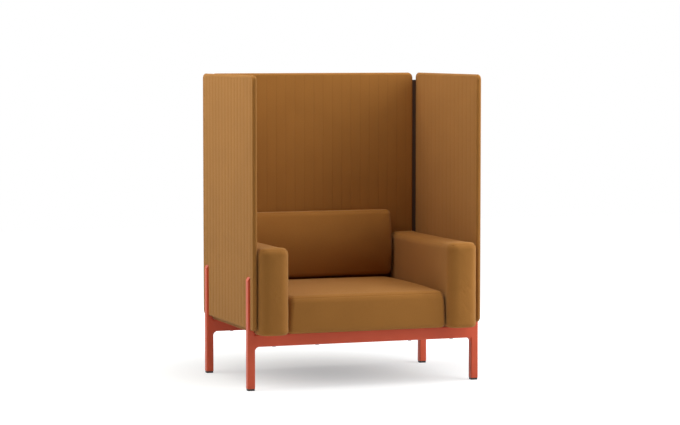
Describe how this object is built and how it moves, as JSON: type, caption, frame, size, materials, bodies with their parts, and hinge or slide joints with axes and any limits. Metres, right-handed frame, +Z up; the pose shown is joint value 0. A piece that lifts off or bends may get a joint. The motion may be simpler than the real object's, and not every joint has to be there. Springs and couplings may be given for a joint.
{
  "type": "high back lounge chair",
  "caption": "Free-standing lounge chair with padded arms, seat and back cushion inside tall quilted acoustic screens, on a painted tube frame with levelling feet.",
  "frame": {"origin": "on the floor, at the centre of the chair's bounding box in plan", "axes": "+X to the right of someone facing the chair, +Y to the back of the chair, +Z up"},
  "size_m": [1.108, 0.7992, 1.4],
  "materials": {
    "coral_paint": "satin",
    "black_rubber": "matte",
    "zinc_steel": "satin",
    "black_plastic": "matte",
    "screen_board": "pressed fibre, matte",
    "screen_fabric": "woven wool, quilted in upright channels",
    "dark_strip": "matte",
    "plywood": "bare",
    "foam": "open foam",
    "webbing": "woven strap",
    "base_cloth": "thin non-woven cloth",
    "seat_fabric": "woven wool, smooth"
  },
  "bodies": {
    "chair": {"front_left_leg": "coral_paint", "front_right_leg": "coral_paint", "rear_left_leg": "coral_paint", "rear_right_leg": "coral_paint", "front_rail": "coral_paint", "rear_rail": "coral_paint", "left_bearer": "coral_paint", "right_bearer": "coral_paint", "back_brackets": "coral_paint", "leg_plugs": "black_plastic", "rail_screws": "zinc_steel", "screen_screws": "zinc_steel", "bracket_screws": "zinc_steel", "arm_bolts": "zinc_steel", "seat_bolts": "zinc_steel", "tee_nuts": "zinc_steel", "back_clips": "zinc_steel", "rubber_pads": "black_rubber", "left_screen_board": "screen_board", "left_screen_cover": "screen_fabric", "right_screen_board": "screen_board", "right_screen_cover": "screen_fabric", "back_screen_board": "screen_board", "back_screen_cover": "screen_fabric", "left_corner_strip": "dark_strip", "left_arm_frame": "plywood", "left_arm_foam": "foam", "left_arm_cover": "seat_fabric", "right_corner_strip": "dark_strip", "right_arm_frame": "plywood", "right_arm_foam": "foam", "right_arm_cover": "seat_fabric", "seat_front_beam": "plywood", "seat_rear_beam": "plywood", "seat_left_beam": "plywood", "seat_right_beam": "plywood", "back_board": "plywood", "seat_webbing": "webbing", "seat_foam": "foam", "seat_base_cloth": "base_cloth", "seat_cover": "seat_fabric", "back_foam": "foam", "back_cover": "seat_fabric"},
    "front_left_foot": {"front_left_foot_pad": "black_rubber", "front_left_foot_stud": "zinc_steel"},
    "front_right_foot": {"front_right_foot_pad": "black_rubber", "front_right_foot_stud": "zinc_steel"},
    "rear_left_foot": {"rear_left_foot_pad": "black_rubber", "rear_left_foot_stud": "zinc_steel"},
    "rear_right_foot": {"rear_right_foot_pad": "black_rubber", "rear_right_foot_stud": "zinc_steel"}
  },
  "joints": [
    {"name": "front_left_foot_slide", "type": "slide", "parent": "chair", "child": "front_left_foot", "axis": [0, 0, -1], "range_m": [0, 0.012]},
    {"name": "front_right_foot_slide", "type": "slide", "parent": "chair", "child": "front_right_foot", "axis": [0, 0, -1], "range_m": [0, 0.012]},
    {"name": "rear_left_foot_slide", "type": "slide", "parent": "chair", "child": "rear_left_foot", "axis": [0, 0, -1], "range_m": [0, 0.012]},
    {"name": "rear_right_foot_slide", "type": "slide", "parent": "chair", "child": "rear_right_foot", "axis": [0, 0, -1], "range_m": [0, 0.012]}
  ]
}
